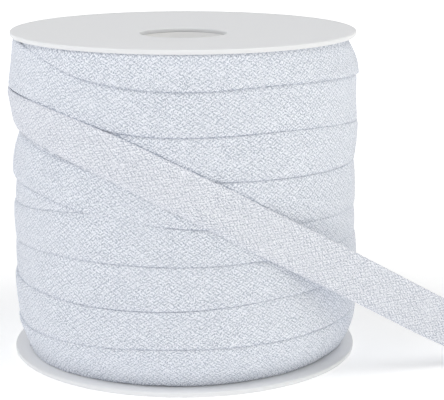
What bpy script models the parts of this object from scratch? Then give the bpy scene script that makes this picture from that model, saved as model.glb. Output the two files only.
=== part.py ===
"""Spool of flat white cotton cord: two plastic flanges on a hub tube, a full winding, and the cord's loose end.

Metres, +Z up. The origin is the centre of the bottom flange's underside, and the loose end leaves
the front of the winding (-Y) towards +X.
"""

import math

import bmesh
import bpy

MM = 0.001

# Driving dimensions
SPOOL_HEIGHT = 91.9 * MM
TOP_FLANGE_RADIUS = 48.5 * MM
BOTTOM_FLANGE_RADIUS = 49.2 * MM
FLANGE_THICKNESS = 1.3 * MM
FLANGE_EDGE_RADIUS = 0.4 * MM
DISH_DEPTH = 1.2 * MM
DISH_FLAT_RADIUS = 20.0 * MM
DISH_RIM_RADIUS = 46.0 * MM
BORE_RADIUS = 12.2 * MM
HUB_WALL = 1.8 * MM
GAP = 0.3 * MM
CORD_WIDTH = 12.0 * MM
CORD_THICKNESS = 1.0 * MM

# The winding's ends and bore, 0.3 mm off the flanges and the hub
WINDING_BOTTOM = FLANGE_THICKNESS + GAP
WINDING_TOP = SPOOL_HEIGHT - FLANGE_THICKNESS - GAP
WINDING_BORE = BORE_RADIUS + HUB_WALL + GAP
CORE_TOP = WINDING_TOP - DISH_DEPTH

ROUND_STEPS = 72
EDGE_DROP = 0.15 * MM
FULL_BAND = 3.0 * MM
BAND_ROWS = (0.0, 0.06, 0.3, 0.7, 0.94)

# The loose end starts at START_ANGLE, where the turn that it continues ends in a step. It lies
# between its neighbours up to FLUSH_ANGLE, and on top of them, with a margin at its sides,
# from ON_TOP_ANGLE. The winding is a cord's thickness lower under it.
START_ANGLE = -150.0
FLUSH_ANGLE = -84.0
ON_TOP_ANGLE = -50.0
STEP_ANGLE = 0.36
LOOSE_CLEARANCE = 0.4 * MM
LOOSE_MARGIN = 3.6 * MM
LOOSE_STEP = 4.0 * MM

# Angles run round +Z from the front (-Y) towards +X, in degrees.
SEAM_ANGLES = (-180, -130, -84, -58, -30, 0, 30, 60, 84, 130, 180)

# Height in mm of each seam between two turns at SEAM_ANGLES, from the top of the winding down.
# The seams are one spiral: each ends at the back where the next one starts. A turn that is
# covered by its neighbour has no height there.
TOP = WINDING_TOP / MM
LOW = WINDING_BOTTOM / MM
SEAM_HEIGHTS = (
    (TOP, TOP, TOP, TOP, TOP, TOP, TOP, TOP, TOP, TOP, TOP),
    (TOP, TOP, TOP, 88.7, 83.1, 81.1, 81.9, 81.1, 79.9, 78.8, 77.7),
    (77.7, 77.4, 76.8, 75.8, 71.0, 69.3, 69.7, 68.5, 66.8, 66.2, 65.8),
    (65.8, 65.3, 64.4, 63.4, 60.4, 57.9, 57.1, 56.4, 55.7, 54.9, 54.2),
    (54.2, 53.4, 52.3, 51.4, 48.1, 45.4, 44.6, 43.8, 42.9, 42.3, 41.6),
    (41.6, 42.4, 44.2, 46.0, 48.1, 45.4, 44.6, 43.8, 42.9, 42.3, 41.6),
    (41.6, 36.5, 33.3, 34.8, 35.3, 35.3, 35.7, 35.6, 35.0, 32.9, 30.6),
    (30.6, 26.5, 23.4, 23.3, 22.9, 23.3, 24.9, 25.3, 25.3, 22.5, 19.2),
    (19.2, 14.8, 10.6, 10.9, 12.0, 13.0, 13.0, 13.4, 13.6, 11.0, 8.0),
    (8.0, 4.9, 2.4, LOW, LOW, LOW, LOW, LOW, LOW, LOW, LOW),
    (LOW, LOW, LOW, LOW, LOW, LOW, LOW, LOW, LOW, LOW, LOW),
)

RADIUS_ANGLES = (-180, -84, -30, 0, 84, 180)

# Radius in mm at the bottom of each seam, at RADIUS_ANGLES.
SEAM_RADII = (
    (47.6, 47.4, 47.8, 47.8, 47.4, 47.6),
    (47.6, 47.4, 48.1, 48.2, 48.8, 48.2),
    (48.2, 48.1, 48.1, 48.2, 48.7, 48.2),
    (48.2, 45.8, 47.6, 48.1, 47.8, 48.1),
    (48.1, 46.9, 47.9, 48.1, 48.0, 48.1),
    (48.1, 47.8, 47.9, 48.1, 48.0, 48.1),
    (48.1, 47.7, 48.1, 48.1, 48.3, 48.1),
    (48.1, 47.7, 48.1, 48.1, 48.9, 48.1),
    (48.1, 47.3, 48.0, 48.0, 48.8, 48.0),
    (48.0, 46.4, 47.9, 47.9, 48.6, 47.9),
    (47.9, 46.4, 47.9, 47.9, 48.6, 47.9),
)

# Radius in mm of each turn's upper and lower part at RADIUS_ANGLES, as (upper, lower) pairs.
TURN_RADII = (
    ((47.9, 48.8), (46.8, 46.8), (48.2, 48.9), (48.3, 49.0), (47.4, 49.4), (48.0, 49.0)),
    ((48.0, 49.0), (47.6, 49.3), (48.6, 48.9), (48.8, 48.9), (48.8, 49.1), (48.8, 48.9)),
    ((48.8, 48.9), (48.6, 48.4), (48.6, 48.7), (48.7, 48.7), (49.3, 48.4), (48.7, 48.8)),
    ((48.7, 48.8), (46.0, 48.6), (48.3, 48.6), (48.6, 48.7), (48.3, 48.8), (48.7, 48.8)),
    ((48.7, 48.8), (47.2, 47.9), (48.5, 48.6), (48.6, 48.7), (48.7, 48.8), (48.7, 48.7)),
    ((48.7, 48.7), (48.4, 48.1), (48.7, 48.7), (48.7, 48.7), (48.4, 48.7), (48.7, 48.7)),
    ((48.7, 48.7), (48.1, 47.9), (48.7, 48.6), (48.7, 48.6), (48.9, 49.5), (48.7, 48.6)),
    ((48.7, 48.6), (48.7, 47.6), (48.7, 48.5), (48.7, 48.6), (49.5, 49.4), (48.6, 48.5)),
    ((48.6, 48.5), (48.3, 46.2), (48.6, 48.2), (48.6, 48.2), (49.4, 48.9), (48.5, 48.3)),
    ((48.5, 48.3), (46.3, 46.6), (48.2, 48.2), (48.2, 48.2), (48.9, 48.9), (48.3, 48.3)),
)

# How far in mm each turn's middle stands out from the line between its edges, at RADIUS_ANGLES.
CROWNS = (
    (0.25, 0.25, 0.25, 0.25, 0.25, 0.25),
    (0.25, -0.1, 0.25, 0.25, -0.2, 0.25),
    (0.25, 0.25, 0.25, 0.25, 0.25, 0.25),
    (0.25, 0.7, 0.25, 0.25, 0.25, 0.25),
    (0.25, 0.25, 0.25, 0.25, 0.25, 0.25),
    (0.25, 0.25, 0.25, 0.25, 0.25, 0.25),
    (0.25, 0.25, 0.25, 0.25, 0.25, 0.25),
    (0.25, 0.25, 0.25, 0.25, 0.25, 0.25),
    (0.25, 0.0, 0.25, 0.25, 0.25, 0.25),
    (0.25, 0.0, 0.25, 0.25, 0.25, 0.25),
)

# How far in mm the winding draws in at its top and its foot, at END_ANGLES, and how far up and
# down that reaches. The foot shows a ledge of the bottom flange.
END_ANGLES = (-180, -84, -60, -30, 0, 30, 60, 84, 120, 180)
TOP_DRAW = (0.0, 0.0, 0.0, 0.0, 0.0, 0.2, 0.9, 2.0, 1.0, 0.0)
FOOT_DRAW = (3.2, 1.3, 1.9, 3.8, 4.1, 4.9, 4.9, 3.2, 3.2, 3.2)
TOP_REACH = 8.0 * MM
FOOT_REACH = 11.0 * MM
DRAW_CURVE = 1.6

# The loose end's middle line on the winding: angle, radius, height and tilt, in degrees and mm.
# Tilt leans the upper edge outwards.
LOOSE_ON_WINDING = (
    (START_ANGLE + 2 * STEP_ANGLE, 48.40, 71.5, 0.0),
    (-130.0, 48.35, 71.4, 2.0),
    (-108.0, 48.15, 71.1, 7.0),
    (-84.0, 48.10, 70.5, 10.0),
    (-68.0, 48.32, 70.3, 8.0),
    (-51.0, 48.90, 69.4, 4.0),
    (-34.0, 49.30, 66.6, 1.0),
    (-21.0, 49.40, 63.2, 0.0),
    (-9.0, 49.40, 58.7, 0.0),
    (4.0, 49.40, 53.3, 0.0),
    (13.0, 49.40, 49.4, 0.0),
    (20.0, 49.42, 45.9, 0.0),
)

# Its free stretch, x, y, z and tilt: down to the right, then laid on its side on the surface
# that the spool stands on.
LOOSE_FREE = (
    (31.0, -41.25, 37.7, 0.0),
    (47.5, -35.3, 27.9, 0.0),
    (60.0, -30.7, 20.25, 0.0),
    (71.5, -26.4, 13.4, -3.0),
    (80.0, -23.3, 9.2, -16.0),
    (88.0, -20.8, 6.0, -42.0),
    (96.0, -18.9, 3.4, -68.0),
    (104.0, -17.9, 1.4, -86.0),
    (112.0, -17.9, 0.7, -90.0),
    (122.0, -18.9, 0.6, -90.0),
)


def smooth_value(x, knots, values):
    """The value at x of a smooth curve through the knots, with no overshoot between them."""
    last = len(knots) - 1
    i = max(0, min(last - 1, sum(1 for k in knots if k <= x) - 1))
    slopes = [(values[n + 1] - values[n]) / (knots[n + 1] - knots[n]) for n in range(last)]

    def tangent(n):
        if n == 0:
            return slopes[0]
        if n == last:
            return slopes[-1]
        before, after = slopes[n - 1], slopes[n]
        if before * after <= 0:
            return 0.0
        mean = (before + after) / 2
        limit = 3 * min(abs(before), abs(after))
        return math.copysign(min(abs(mean), limit), mean)

    span = knots[i + 1] - knots[i]
    t = (x - knots[i]) / span
    return (
        (1 + 2 * t) * (1 - t) ** 2 * values[i]
        + t * (1 - t) ** 2 * span * tangent(i)
        + t * t * (3 - 2 * t) * values[i + 1]
        + t * t * (t - 1) * span * tangent(i + 1)
    )


def ease(t):
    """0 to 1 with a soft start and end."""
    t = max(0.0, min(1.0, t))
    return t * t * (3 - 2 * t)


def on_cylinder(angle, radius, height):
    """The point at an angle in degrees from the front, a radius and a height."""
    a = math.radians(angle)
    return (radius * math.sin(a), -radius * math.cos(a), height)


def smooth_route(points, step):
    """Points about a step apart on a smooth curve through the route's own points."""
    out = []
    for i in range(len(points) - 1):
        p0 = points[max(i - 1, 0)]
        p1, p2 = points[i], points[i + 1]
        p3 = points[min(i + 2, len(points) - 1)]
        before = math.dist(p0[:3], p1[:3]) or math.dist(p1[:3], p2[:3])
        span = math.dist(p1[:3], p2[:3])
        after = math.dist(p2[:3], p3[:3]) or span
        count = max(1, round(span / step))
        for n in range(count):
            t = n / count
            row = []
            for a, b, c, d in zip(p0, p1, p2, p3):
                m1 = ((b - a) / before + (c - b) / span) / 2 * span if i else c - b
                m2 = ((c - b) / span + (d - c) / after) / 2 * span if i + 2 < len(points) else c - b
                row.append(
                    (1 + 2 * t) * (1 - t) ** 2 * b
                    + t * (1 - t) ** 2 * m1
                    + t * t * (3 - 2 * t) * c
                    + t * t * (t - 1) * m2
                )
            out.append(tuple(row))
    out.append(tuple(points[-1]))
    return out


def loose_route():
    """The loose end's middle line as (x, y, z, tilt) rows, in metres and degrees."""
    rows = [
        (*on_cylinder(angle, radius * MM, height * MM), tilt)
        for angle, radius, height, tilt in LOOSE_ON_WINDING
    ]
    rows += [(x * MM, y * MM, z * MM, tilt) for x, y, z, tilt in LOOSE_FREE]
    return smooth_route(rows, LOOSE_STEP)


def loose_floor(route):
    """A function of angle and height: the radius that the winding may reach under the loose end."""
    rows = []
    for x, y, z, tilt in route:
        angle = math.degrees(math.atan2(x, -y))
        radius = math.hypot(x, y)
        rows.append((angle, radius, z, math.radians(tilt)))
    rows = [r for r in rows if r[0] < 60.0]

    def limit(angle, height):
        if angle < START_ANGLE - STEP_ANGLE / 2:
            return math.inf
        risen = ease((angle - FLUSH_ANGLE) / (ON_TOP_ANGLE - FLUSH_ANGLE))
        reach = CORD_WIDTH / 2 + 2 * GAP + risen * (LOOSE_MARGIN - 2 * GAP)
        best = math.inf
        for (a0, r0, z0, t0), (a1, r1, z1, t1) in zip(rows, rows[1:]):
            mean = (r0 + r1) / 2
            dx = math.radians(a1 - a0) * mean
            dz = z1 - z0
            length = math.hypot(dx, dz)
            px = math.radians(angle - a0) * mean
            pz = height - z0
            along = (px * dx + pz * dz) / length
            across = (pz * dx - px * dz) / length
            if -length < along < 2 * length and abs(across) < reach:
                t = max(0.0, min(1.0, along / length))
                side = max(-CORD_WIDTH / 2, min(CORD_WIDTH / 2, across))
                lean = math.sin(t0 + (t1 - t0) * t) * side
                inner = r0 + (r1 - r0) * t + lean - CORD_THICKNESS / 2
                best = min(best, inner - LOOSE_CLEARANCE)
        return best

    return limit


def drawn_in(angle, height):
    """How much smaller the winding's radius is at a height near its top or its foot."""
    top = smooth_value(angle, END_ANGLES, TOP_DRAW) * MM
    foot = smooth_value(angle, END_ANGLES, FOOT_DRAW) * MM
    from_top = max(0.0, 1 - (WINDING_TOP - height) / TOP_REACH)
    from_foot = max(0.0, 1 - (height - WINDING_BOTTOM) / FOOT_REACH)
    return top * from_top**DRAW_CURVE + foot * from_foot**DRAW_CURVE


def under_flange(radius, height):
    """The height, kept under the top flange, which is lower towards its middle."""
    inwards = (DISH_RIM_RADIUS - radius) / (DISH_RIM_RADIUS - DISH_FLAT_RADIUS)
    return min(height, WINDING_TOP - DISH_DEPTH * max(0.0, inwards))


def winding_column(angle, limit):
    """The winding's outer side at one angle, as (radius, height) rows from top to bottom."""
    heights = [smooth_value(angle, SEAM_ANGLES, row) * MM for row in SEAM_HEIGHTS]
    for n in range(1, len(heights)):
        heights[n] = min(heights[n], heights[n - 1])
    seams = [smooth_value(angle, RADIUS_ANGLES, row) * MM for row in SEAM_RADII]
    column = []
    for n, turn in enumerate(TURN_RADII):
        top, bottom = heights[n], heights[n + 1]
        share = ease((top - bottom) / FULL_BAND)
        upper = smooth_value(angle, RADIUS_ANGLES, [pair[0] for pair in turn]) * MM
        lower = smooth_value(angle, RADIUS_ANGLES, [pair[1] for pair in turn]) * MM
        crown = smooth_value(angle, RADIUS_ANGLES, CROWNS[n]) * MM
        for v in BAND_ROWS:
            height = top + (bottom - top) * v
            if v == 0.0:
                radius = seams[n]
            else:
                edge = EDGE_DROP if min(v, 1 - v) < 0.1 else 0.0
                face = upper + (lower - upper) * v + crown * 4 * v * (1 - v) - edge
                seam = seams[n] + (seams[n + 1] - seams[n]) * v
                radius = seam + (face - seam) * share
            radius = min(radius - drawn_in(angle, height), limit(angle, height))
            column.append((radius, under_flange(radius, height)))
    column.append((seams[-1] - drawn_in(angle, heights[-1]), heights[-1]))
    return column


def material(name, colour, roughness):
    """A plain Principled material."""
    made = bpy.data.materials.new(name)
    made.use_nodes = True
    shader = made.node_tree.nodes["Principled BSDF"]
    shader.inputs["Base Color"].default_value = (*colour, 1.0)
    shader.inputs["Roughness"].default_value = roughness
    shader.inputs["Metallic"].default_value = 0.0
    return made


def add_object(collection, name, data, finish):
    """Puts a mesh or curve in the collection under the part's name, with its material."""
    data.materials.append(finish)
    made = bpy.data.objects.new(name, data)
    collection.objects.link(made)
    return made


def edge_arc(radius, height, corner, start):
    """Three points of a rounded edge in a profile, round the corner's centre."""
    return [
        (
            radius + corner * math.cos(math.radians(start - turn)),
            height + corner * math.sin(math.radians(start - turn)),
        )
        for turn in (0, 45, 90)
    ]


def turned(collection, name, profile, finish):
    """A closed profile of (radius, height) points, turned round Z."""
    mesh = bpy.data.meshes.new(name)
    shape = bmesh.new()
    points = [shape.verts.new((radius, 0.0, height)) for radius, height in profile]
    for n, point in enumerate(points):
        shape.edges.new((point, points[(n + 1) % len(points)]))
    shape.to_mesh(mesh)
    shape.free()
    made = add_object(collection, name, mesh, finish)
    screw = made.modifiers.new("Turned", "SCREW")
    screw.steps = ROUND_STEPS
    screw.render_steps = ROUND_STEPS
    screw.use_merge_vertices = True
    screw.merge_threshold = 0.00001
    screw.use_smooth_shade = True
    return made


def flange_profile(radius, underside, dish):
    """A thin disc's section: its flat middle lies a dish's depth below the rim."""
    corner = FLANGE_EDGE_RADIUS
    top = underside + FLANGE_THICKNESS
    rim = radius - corner
    return [
        (BORE_RADIUS, top - dish),
        (DISH_FLAT_RADIUS, top - dish),
        (DISH_RIM_RADIUS, top),
        *edge_arc(rim, top - corner, corner, 90),
        *edge_arc(rim, underside + corner, corner, 0),
        (DISH_RIM_RADIUS, underside),
        (DISH_FLAT_RADIUS, underside - dish),
        (BORE_RADIUS, underside - dish),
    ]


def add_flanges(collection, finish):
    """The two discs. The full winding has pushed the top one's rim up, so its middle is lower."""
    underside = SPOOL_HEIGHT - FLANGE_THICKNESS
    turned(
        collection, "flange_top", flange_profile(TOP_FLANGE_RADIUS, underside, DISH_DEPTH), finish
    )
    turned(collection, "flange_bottom", flange_profile(BOTTOM_FLANGE_RADIUS, 0.0, 0.0), finish)


def add_hub(collection, finish):
    """The tube between the flanges, whose bore shows in the hole."""
    outer = BORE_RADIUS + HUB_WALL
    profile = [
        (BORE_RADIUS, CORE_TOP),
        (outer, CORE_TOP),
        (outer, WINDING_BOTTOM),
        (BORE_RADIUS, WINDING_BOTTOM),
    ]
    turned(collection, "hub_tube", profile, finish)


def add_winding(collection, route, finish):
    """The full winding as one ring, lofted between unlike sections: each turn is a crowned band
    between two seams of one spiral."""
    limit = loose_floor(route)
    angles = [-180 + 360 * n / ROUND_STEPS for n in range(ROUND_STEPS + 1)]
    angles.append(START_ANGLE - STEP_ANGLE)
    angles.sort()
    shape = bmesh.new()
    columns = []
    for angle in angles:
        rows = winding_column(angle, limit)
        rows += [
            (WINDING_BORE, WINDING_BOTTOM),
            (WINDING_BORE, CORE_TOP),
            (DISH_FLAT_RADIUS, CORE_TOP),
        ]
        columns.append([shape.verts.new(on_cylinder(angle, r, z)) for r, z in rows])
    for left, right in zip(columns, columns[1:]):
        count = len(left)
        for n in range(count):
            m = (n + 1) % count
            shape.faces.new((left[n], left[m], right[m], right[n]))
    bmesh.ops.remove_doubles(shape, verts=shape.verts, dist=0.00001)
    bmesh.ops.dissolve_degenerate(shape, dist=0.00001, edges=shape.edges)
    bmesh.ops.triangulate(shape, faces=shape.faces)
    bmesh.ops.recalc_face_normals(shape, faces=shape.faces)
    mesh = bpy.data.meshes.new("winding")
    shape.to_mesh(mesh)
    shape.free()
    made = add_object(collection, "winding", mesh, finish)
    mesh.shade_smooth()
    mesh.set_sharp_from_angle(angle=math.radians(40))
    return made


def add_loose_end(collection, route, finish):
    """The last turn's end: a flat strip with rounded edges along its route."""
    curve = bpy.data.curves.new("loose_end", "CURVE")
    curve.dimensions = "3D"
    curve.twist_mode = "Z_UP"
    curve.fill_mode = "FULL"
    curve.extrude = (CORD_WIDTH - CORD_THICKNESS) / 2
    curve.bevel_depth = CORD_THICKNESS / 2
    curve.bevel_resolution = 1
    curve.use_fill_caps = True
    spline = curve.splines.new("POLY")
    spline.points.add(len(route) - 1)
    for point, (x, y, z, tilt) in zip(spline.points, route):
        point.co = (x, y, z, 1.0)
        point.tilt = math.radians(tilt)
    return add_object(collection, "loose_end", curve, finish)


def main():
    for old in list(bpy.data.objects):
        bpy.data.objects.remove(old, do_unlink=True)
    collection = bpy.data.collections.new("cotton_cord_spool")
    bpy.context.scene.collection.children.link(collection)
    plastic = (0.72, 0.73, 0.74)
    cotton = (0.74, 0.76, 0.80)
    route = loose_route()
    add_flanges(collection, material("white_plastic", plastic, 0.45))
    add_hub(collection, material("white_hub_plastic", plastic, 0.5))
    add_winding(collection, route, material("white_cotton", cotton, 0.9))
    add_loose_end(collection, route, material("white_cotton_loose", cotton, 0.9))


main()
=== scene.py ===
"""Spool of flat white cotton cord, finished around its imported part.

Laid out as a Blender add-on and run as a script. Metres, +Z up: the origin is the centre of the
bottom flange's underside, -Y is the front, and the cord's loose end is led off to +X. Angles run
round +Z from the front towards +X, in degrees, and go on past 180 from turn to turn.
"""

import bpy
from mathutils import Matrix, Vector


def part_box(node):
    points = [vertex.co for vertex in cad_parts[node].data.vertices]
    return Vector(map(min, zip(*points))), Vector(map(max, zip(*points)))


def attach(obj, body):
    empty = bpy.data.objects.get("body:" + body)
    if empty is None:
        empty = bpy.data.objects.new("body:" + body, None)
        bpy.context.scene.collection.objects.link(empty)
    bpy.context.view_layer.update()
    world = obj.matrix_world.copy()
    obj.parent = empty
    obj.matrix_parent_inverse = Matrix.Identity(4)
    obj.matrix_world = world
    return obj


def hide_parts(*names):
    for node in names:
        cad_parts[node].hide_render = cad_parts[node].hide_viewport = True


bl_info = {
    "name": "Cotton Cord Spool",
    "version": (1, 0, 0),
    "blender": (4, 5, 0),
    "location": "3D View > Sidebar > Cord Spool",
    "description": "Builds a spool of flat white cotton cord with its loose end",
    "category": "Object",
}

import math

import bmesh
import bpy
import numpy as np
from mathutils import Vector

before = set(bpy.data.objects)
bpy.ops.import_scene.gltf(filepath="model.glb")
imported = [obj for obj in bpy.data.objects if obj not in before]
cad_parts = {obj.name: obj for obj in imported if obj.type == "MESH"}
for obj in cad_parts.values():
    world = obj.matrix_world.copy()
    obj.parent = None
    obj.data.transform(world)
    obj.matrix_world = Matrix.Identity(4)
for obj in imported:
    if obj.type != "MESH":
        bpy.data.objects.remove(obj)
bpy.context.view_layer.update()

MM = 0.001

# Mesh points closer than this are one point.
MERGE = 0.002 * MM

# The spool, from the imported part's boxes and in the same sizes as the part's own source.
TOP_LOW, TOP_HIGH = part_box("flange_top")
BOTTOM_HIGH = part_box("flange_bottom")[1]
HUB_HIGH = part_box("hub_tube")[1]
WINDING_LOW, WINDING_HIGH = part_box("winding")
FLANGE_THICKNESS = BOTTOM_HIGH.z
UNDER_TOP = TOP_HIGH.z - FLANGE_THICKNESS
DISH_DEPTH = UNDER_TOP - TOP_LOW.z
DISH_FLAT_RADIUS = 20.0 * MM
DISH_RIM_RADIUS = 46.0 * MM
DISH_STEPS = 8
FLANGE_STEPS = 192
HUB_WALL = 1.8 * MM
HUB_EDGE = 0.05 * MM
HUB_STEPS = 128
BORE_RADIUS = HUB_HIGH.x - HUB_WALL

# Turned pieces: the steps in a rim's rounding, how near to its circle a point of a rim is, and the
# angle from which an edge is shaded sharp.
BEVEL_SEGMENTS = 4
ON_RIM = 0.01 * MM
SHARP_ANGLE = math.radians(35)

# The layers inside the winding: their clearance round the hub, their radius, their smaller radius
# at both ends, how much lower their outer rim is at the top, and how round their edges are.
HUB_CLEARANCE = 0.3 * MM
LAYERS_RADIUS = 45.2 * MM
LAYERS_END_RADIUS = 41.5 * MM
LAYERS_TOP_DROP = 0.3 * MM
LAYERS_EDGE = 0.5 * MM
LAYERS_STEPS = 96

# The winding's seams and radii, in the same sizes as the part's own source.
SEAM_ANGLES = (-180, -130, -84, -58, -30, 0, 30, 60, 84, 130, 180)
TOP = WINDING_HIGH.z / MM
LOW = WINDING_LOW.z / MM

# Height in mm of the cord's upper edge at SEAM_ANGLES, a row for each turn from the top down.
SEAM_HEIGHTS = (
    (TOP, TOP, TOP, TOP, TOP, TOP, TOP, TOP, TOP, TOP, TOP),
    (TOP, TOP, TOP, 88.7, 83.1, 81.1, 81.9, 81.1, 79.9, 78.8, 77.7),
    (77.7, 77.4, 76.8, 75.8, 71.0, 69.3, 69.7, 68.5, 66.8, 66.2, 65.8),
    (65.8, 65.3, 64.4, 63.4, 60.4, 57.9, 57.1, 56.4, 55.7, 54.9, 54.2),
    (54.2, 53.4, 52.3, 51.4, 48.1, 45.4, 44.6, 43.8, 42.9, 42.3, 41.6),
    (41.6, 42.4, 44.2, 46.0, 48.1, 45.4, 44.6, 43.8, 42.9, 42.3, 41.6),
    (41.6, 36.5, 33.3, 34.8, 35.3, 35.3, 35.7, 35.6, 35.0, 32.9, 30.6),
    (30.6, 26.5, 23.4, 23.3, 22.9, 23.3, 24.9, 25.3, 25.3, 22.5, 19.2),
    (19.2, 14.8, 10.6, 10.9, 12.0, 13.0, 13.0, 13.4, 13.6, 11.0, 8.0),
    (8.0, 4.9, 2.4, LOW, LOW, LOW, LOW, LOW, LOW, LOW, LOW),
    (LOW, LOW, LOW, LOW, LOW, LOW, LOW, LOW, LOW, LOW, LOW),
)

RADIUS_ANGLES = (-180, -84, -30, 0, 84, 180)

# Radius in mm of each turn's upper and lower part at RADIUS_ANGLES.
UPPER_RADII = (
    (47.9, 46.2, 48.2, 48.3, 47.4, 48.0),
    (48.0, 47.6, 48.6, 48.8, 48.8, 48.8),
    (48.8, 48.6, 48.6, 48.7, 49.3, 48.7),
    (48.7, 46.0, 48.3, 48.6, 48.3, 48.7),
    (48.7, 47.2, 48.5, 48.6, 48.7, 48.7),
    (48.7, 48.4, 48.7, 48.7, 48.4, 48.7),
    (48.7, 48.1, 48.7, 48.7, 48.9, 48.7),
    (48.7, 48.7, 48.7, 48.7, 49.5, 48.6),
    (48.6, 48.3, 48.6, 48.6, 49.4, 48.5),
    (48.5, 46.3, 48.2, 48.2, 48.9, 48.3),
)
LOWER_RADII = (
    (48.8, 46.4, 48.9, 49.0, 49.4, 49.0),
    (49.0, 49.3, 48.9, 48.9, 49.1, 48.9),
    (48.9, 48.4, 48.7, 48.7, 48.4, 48.8),
    (48.8, 48.6, 48.6, 48.7, 48.8, 48.8),
    (48.8, 47.9, 48.6, 48.7, 48.8, 48.7),
    (48.7, 48.1, 48.7, 48.7, 48.7, 48.7),
    (48.7, 47.9, 48.6, 48.6, 49.5, 48.6),
    (48.6, 47.6, 48.5, 48.6, 49.4, 48.5),
    (48.5, 46.2, 48.2, 48.2, 48.9, 48.3),
    (48.3, 46.6, 48.2, 48.2, 48.9, 48.3),
)

# How far in mm each turn's middle stands out from the line between its edges, at RADIUS_ANGLES.
CROWNS = (
    (0.25, 0.25, 0.25, 0.25, 0.25, 0.25),
    (0.25, -0.1, 0.25, 0.25, -0.2, 0.25),
    (0.25, 0.25, 0.25, 0.25, 0.25, 0.25),
    (0.25, 0.7, 0.25, 0.25, 0.25, 0.25),
    (0.25, 0.25, 0.25, 0.25, 0.25, 0.25),
    (0.25, 0.25, 0.25, 0.25, 0.25, 0.25),
    (0.25, 0.25, 0.25, 0.25, 0.25, 0.25),
    (0.25, 0.25, 0.25, 0.25, 0.25, 0.25),
    (0.25, 0.0, 0.25, 0.25, 0.25, 0.25),
    (0.25, 0.0, 0.25, 0.25, 0.25, 0.25),
)

# How far in mm the winding draws in at its top and its foot, at END_ANGLES, and how far up and
# down that reaches.
END_ANGLES = (-180, -84, -60, -30, 0, 30, 60, 84, 120, 180)
TOP_DRAW = (0.0, 0.0, 0.0, 0.0, 0.0, 0.2, 0.9, 2.0, 1.0, 0.0)
FOOT_DRAW = (3.2, 1.3, 1.9, 3.8, 4.1, 4.9, 4.9, 3.2, 3.2, 3.2)
TOP_REACH = 8.0 * MM
FOOT_REACH = 11.0 * MM
DRAW_CURVE = 1.6

# The stretches of the cord that show, as their name, first and last angle. The second turn goes on
# to where the loose end starts, and an older turn comes out from under the loose end.
LOOSE_START = -149.28
LOOSE_FROM = 720.0 + LOOSE_START
TURNS = (
    ("turn_1", -180.0, 180.0),
    ("turn_2", 180.0, LOOSE_FROM),
    ("turn_3", LOOSE_FROM, 900.0),
    ("turn_4", 900.0, 1260.0),
    ("turn_5", 1260.0, 1620.0),
    ("turn_6", 1620.0, 1980.0),
    ("turn_7", 1980.0, 2340.0),
    ("turn_8", 2340.0, 2700.0),
    ("turn_9", 2700.0, 3060.0),
    ("turn_10", 3060.0, 3160.0),
)

# The loose end's route: angle, radius, height and tilt on the winding, then x, y, z and tilt of
# its free stretch, in mm and degrees, as in the part's own source. Tilt leans the upper edge out.
LOOSE_ON_WINDING = (
    (LOOSE_START, 48.40, 71.5, 0.0),
    (-130.0, 48.35, 71.4, 2.0),
    (-108.0, 48.15, 71.1, 7.0),
    (-84.0, 48.10, 70.5, 10.0),
    (-68.0, 48.32, 70.3, 8.0),
    (-51.0, 48.90, 69.4, 4.0),
    (-34.0, 49.30, 66.6, 1.0),
    (-21.0, 49.40, 63.2, 0.0),
    (-9.0, 49.40, 58.7, 0.0),
    (4.0, 49.40, 53.3, 0.0),
    (13.0, 49.40, 49.4, 0.0),
    (20.0, 49.42, 45.9, 0.0),
)
LOOSE_FREE = (
    (31.0, -41.25, 37.7, 0.0),
    (47.5, -35.3, 27.9, 0.0),
    (60.0, -30.7, 20.25, 0.0),
    (71.5, -26.4, 13.4, -3.0),
    (80.0, -23.3, 9.2, -16.0),
    (88.0, -20.8, 6.0, -42.0),
    (96.0, -18.9, 3.4, -68.0),
    (104.0, -17.9, 1.4, -86.0),
    (112.0, -17.9, 0.7, -90.0),
    (122.0, -18.9, 0.6, -90.0),
)

# The loose end's mesh stays this far above the floor.
ABOVE_FLOOR = 0.02 * MM

# The turns make room for the loose end along its route, in steps of this length, up to the angle
# from which it is clear of the winding.
LOOSE_STEP = 4.0 * MM
LOOSE_CLEAR = 60.0

# The loose end's lower part curls in towards the turn below it, most at the left: how far in mm at
# CURL_ANGLES, and how wide a part.
CURL_ANGLES = (-150, -120, -84, -60, -40, 10, 30, 180)
CURL = (0.0, 0.5, 1.2, 1.0, 0.8, 0.8, 0.2, 0.0)
CURL_WIDTH = 3.5 * MM

# Beside the loose end the winding rises to its face, over BESIDE_RISE above it. Below it the rise
# takes BELOW_RISE and starts BELOW_START further in. Past BESIDE_REACH the winding is free.
BESIDE_RISE = 0.8 * MM
BELOW_RISE = 0.3 * MM
BELOW_START = 0.45 * MM
BESIDE_REACH = 3.6 * MM
BESIDE_SLOPE = 0.5

# Along the loose end's upper edge the winding gets a narrow painted shade, this dark and this wide.
# On the turns above, it starts at SHADE_FROM. It fades over LIFT_FADE, as the loose end lifts off.
SHADE = 0.5
SHADE_WIDTH = 0.45 * MM
SHADE_FROM = -84.0
LIFT_FADE = 0.8 * MM

# The cord is thinner over this width at each edge, where it is wound and where it is loose.
TAPER_WIDTH = 1.3 * MM
LOOSE_TAPER_WIDTH = 1.5 * MM

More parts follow.
